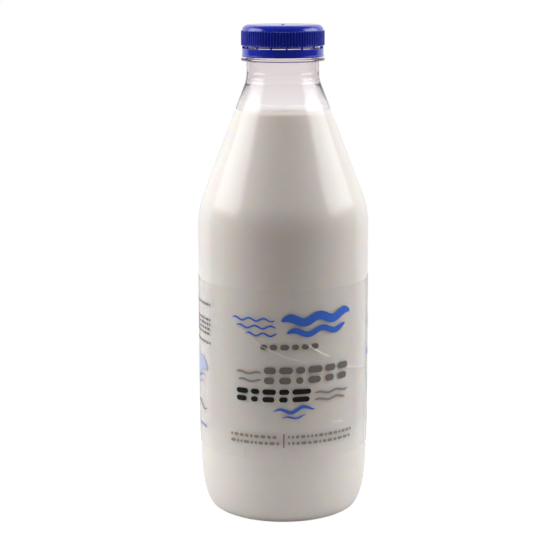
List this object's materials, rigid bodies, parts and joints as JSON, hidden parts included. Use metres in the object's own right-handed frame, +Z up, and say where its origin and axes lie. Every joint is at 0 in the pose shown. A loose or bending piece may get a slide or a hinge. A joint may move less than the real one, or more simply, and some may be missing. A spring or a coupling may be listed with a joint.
{
  "type": "round plastic milk bottle",
  "caption": "Tall round clear plastic bottle full of milk, with a long conical shoulder, a ribbed screw cap with a tamper band, and a clear printed film round the body.",
  "frame": {"origin": "on the surface that the bottle stands on, under the bottle's axis", "axes": "+Z up along the bottle's axis, towards the cap; -Y towards the printed front"},
  "size_m": [0.085, 0.085, 0.2415],
  "materials": {
    "clear_bottle": "clear glossy blown plastic with a slightly grey cast",
    "milk": "opaque warm white liquid with soft light inside it",
    "blue_cap": "glossy moulded deep blue plastic",
    "clear_film": "thin clear glossy film with printed blue, grey and black shapes"
  },
  "bodies": {
    "root": {"bottle": "clear_bottle", "milk": "milk", "cap": "blue_cap", "label_film": "clear_film"}
  },
  "joints": []
}
